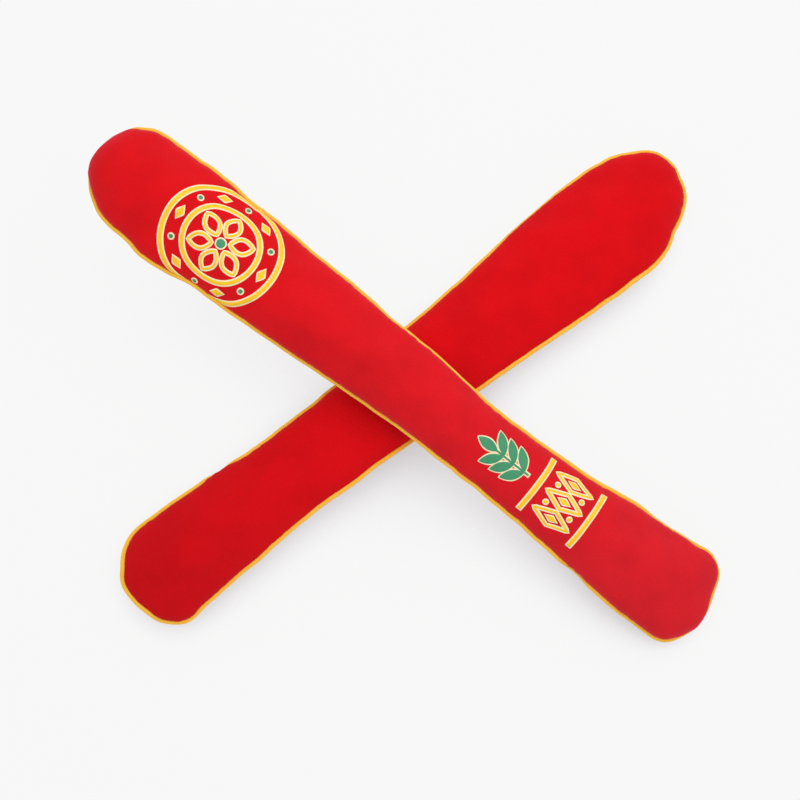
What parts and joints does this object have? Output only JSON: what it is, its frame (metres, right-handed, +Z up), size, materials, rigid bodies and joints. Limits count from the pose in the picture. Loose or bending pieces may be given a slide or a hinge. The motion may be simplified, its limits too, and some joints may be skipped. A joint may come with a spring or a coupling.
{
  "type": "padded focus training sticks",
  "caption": "Pair of padded red velvet training sticks with yellow piping, flat-oval with a wide head, a narrow waist and a blunt tail, laid crossed.",
  "frame": {"origin": "on the floor, under the middle of the pair's bounding box", "axes": "+X along the pair's longer side, +Y from the tail of the lower stick towards its head in plan, +Z up from the floor"},
  "size_m": [0.389, 0.3158, 0.1043],
  "materials": {
    "red_velvet": "matte",
    "piping_cloth": "satin",
    "cotton_cord": "matte",
    "polyester_wadding": "matte",
    "foam": "matte",
    "core_wood": "satin",
    "cap_rubber": "matte",
    "stitch_thread": "matte"
  },
  "bodies": {
    "lower_stick": {"lower_front_cover": "red_velvet", "lower_back_cover": "red_velvet", "lower_piping_sleeve": "piping_cloth", "lower_piping_cord": "cotton_cord", "lower_front_wadding": "polyester_wadding", "lower_back_wadding": "polyester_wadding", "lower_front_foam": "foam", "lower_back_foam": "foam", "lower_core_rod": "core_wood", "lower_head_cap": "cap_rubber", "lower_tail_cap": "cap_rubber", "lower_closing_stitches": "stitch_thread"},
    "upper_stick": {"upper_front_cover": "red_velvet", "upper_back_cover": "red_velvet", "upper_piping_sleeve": "piping_cloth", "upper_piping_cord": "cotton_cord", "upper_front_wadding": "polyester_wadding", "upper_back_wadding": "polyester_wadding", "upper_front_foam": "foam", "upper_back_foam": "foam", "upper_core_rod": "core_wood", "upper_head_cap": "cap_rubber", "upper_tail_cap": "cap_rubber", "upper_closing_stitches": "stitch_thread"}
  },
  "joints": [
    {"name": "upper_stick_lift", "type": "slide", "parent": "lower_stick", "child": "upper_stick", "axis": [0, 0, 1], "range_m": [0, 0.15]}
  ]
}
